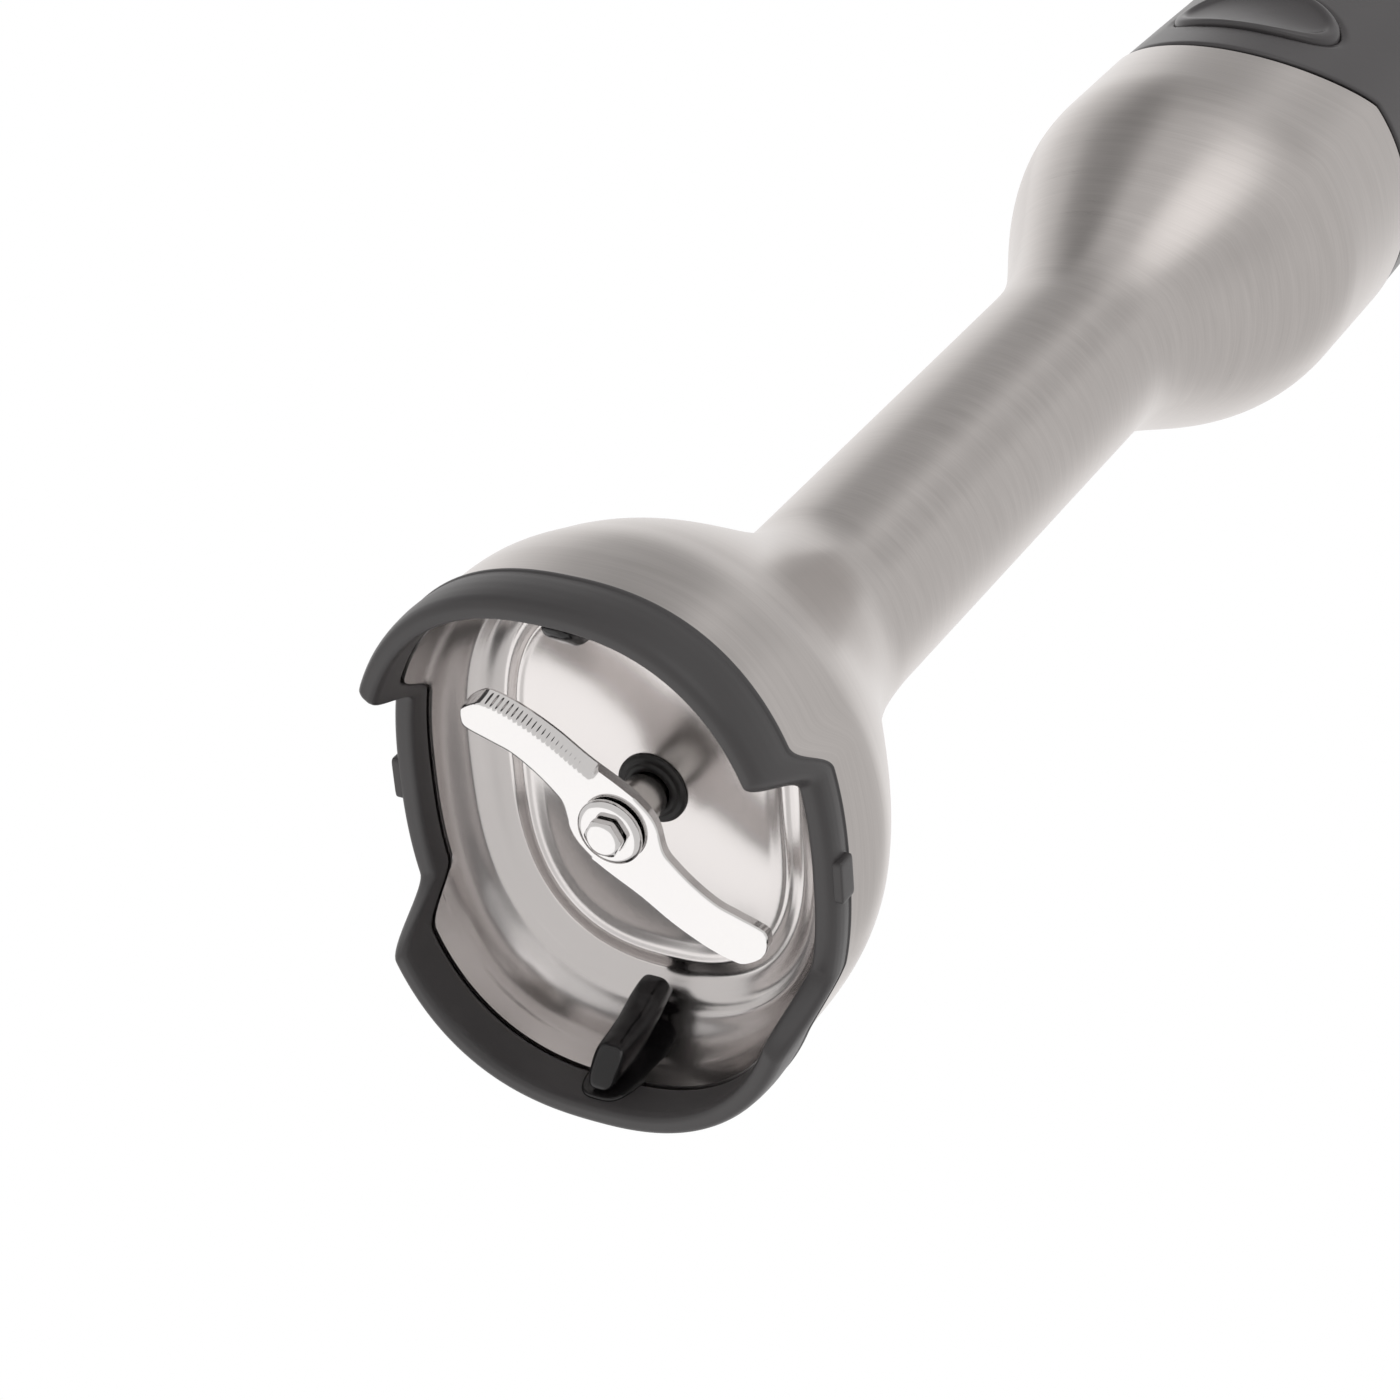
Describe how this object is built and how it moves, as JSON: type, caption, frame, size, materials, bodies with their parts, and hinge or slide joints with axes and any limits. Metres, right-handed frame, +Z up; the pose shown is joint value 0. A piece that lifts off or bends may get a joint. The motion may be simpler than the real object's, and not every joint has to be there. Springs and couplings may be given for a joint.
{
  "type": "immersion blender",
  "caption": "Immersion blender: brushed steel bell and shaft with an S blade, release buttons, and a handle with trigger and speed dial.",
  "frame": {"origin": "centre of the bell's mouth, on the plane of its two feet", "axes": "+Z up the shaft to the handle, X through the feet and the release buttons, -Y the trigger side"},
  "size_m": [0.0642, 0.0646, 0.402],
  "materials": {
    "brushed_steel": "fine circumferential hairline brushing, satin",
    "polished_steel": "bright satin to mirror",
    "guard_plastic": "charcoal, semi-matt moulded",
    "gloss_black": "glossy black moulded",
    "charcoal_plastic": "charcoal, satin moulded",
    "soft_grip": "soft-touch, matt",
    "bronze": "sintered bronze",
    "nylon": "natural moulded",
    "laminated_iron": "laminated core",
    "copper": "enamelled copper",
    "magnet": "sintered ferrite",
    "board": "circuit board"
  },
  "bodies": {
    "shaft": {"shaft_housing": "brushed_steel", "bell_liner": "polished_steel", "rim_guard": "guard_plastic", "rib_right": "gloss_black", "rib_left": "gloss_black", "shaft_seal": "gloss_black", "bearing_carrier": "nylon", "lower_bush": "bronze", "upper_bush": "bronze", "shaft_collar": "nylon"},
    "drive_line": {"blade": "polished_steel", "blade_washer": "polished_steel", "blade_nut": "polished_steel", "blade_spacer": "polished_steel", "drive_shaft": "polished_steel", "thrust_ring": "bronze", "driven_coupling": "nylon"},
    "handle": {"handle_collar": "charcoal_plastic", "seam_ring": "guard_plastic", "shaft_socket": "nylon", "front_shell": "charcoal_plastic", "back_shell": "charcoal_plastic", "front_grip": "soft_grip", "top_cap": "charcoal_plastic", "cord_gland": "guard_plastic", "housing_screw_1": "polished_steel", "housing_screw_2": "polished_steel", "housing_screw_3": "polished_steel", "housing_screw_4": "polished_steel", "motor_can": "brushed_steel", "motor_end_plate": "brushed_steel", "magnet_front": "magnet", "magnet_back": "magnet", "lower_bearing": "bronze", "upper_bearing": "bronze", "bearing_bridge": "brushed_steel", "brush_left": "magnet", "brush_right": "magnet", "lower_mount_ring": "guard_plastic", "upper_mount_ring": "guard_plastic", "trigger_pin": "polished_steel", "pin_bracket": "nylon", "trigger_spring": "polished_steel", "circuit_board": "board", "microswitch": "gloss_black", "potentiometer": "brushed_steel"},
    "rotor": {"drive_coupling": "laminated_iron", "motor_shaft": "polished_steel", "armature_core": "laminated_iron", "lower_winding": "copper", "upper_winding": "copper", "commutator": "copper", "cooling_fan": "charcoal_plastic"},
    "right_button": {"button_right": "charcoal_plastic"},
    "left_button": {"button_left": "charcoal_plastic"},
    "trigger_lever": {"trigger": "soft_grip"},
    "dial": {"speed_dial": "charcoal_plastic"}
  },
  "joints": [
    {"name": "handle_lift", "type": "slide", "parent": "shaft", "child": "handle", "axis": [0, 0, 1], "range_m": [0, 0.06]},
    {"name": "blade_spin", "type": "hinge", "parent": "shaft", "child": "drive_line", "pos_m": [0, 0, 0.0104], "axis": [0, 0, 1], "continuous": true},
    {"name": "motor_spin", "type": "hinge", "parent": "handle", "child": "rotor", "pos_m": [0, 0, 0.25], "axis": [0, 0, 1], "continuous": true},
    {"name": "right_button_press", "type": "slide", "parent": "handle", "child": "right_button", "axis": [-1, 0, 0], "range_m": [0, 0.0015], "stiffness_N_per_m": 800, "springref_m": -0.001},
    {"name": "left_button_press", "type": "slide", "parent": "handle", "child": "left_button", "axis": [1, 0, 0], "range_m": [0, 0.0015], "stiffness_N_per_m": 800, "springref_m": -0.001},
    {"name": "trigger_pull", "type": "hinge", "parent": "handle", "child": "trigger_lever", "pos_m": [0, -0.01627, 0.321], "axis": [1, 0, 0], "range_deg": [0, 5], "stiffness_Nm_per_rad": 0.6, "springref_deg": -3.44},
    {"name": "dial_turn", "type": "hinge", "parent": "handle", "child": "dial", "pos_m": [0, -0.008, 0.396], "axis": [0, 0, -1], "range_deg": [0, 270]}
  ],
  "couplings": [
    {"joint": "blade_spin", "follows": "motor_spin", "ratio": 1}
  ]
}
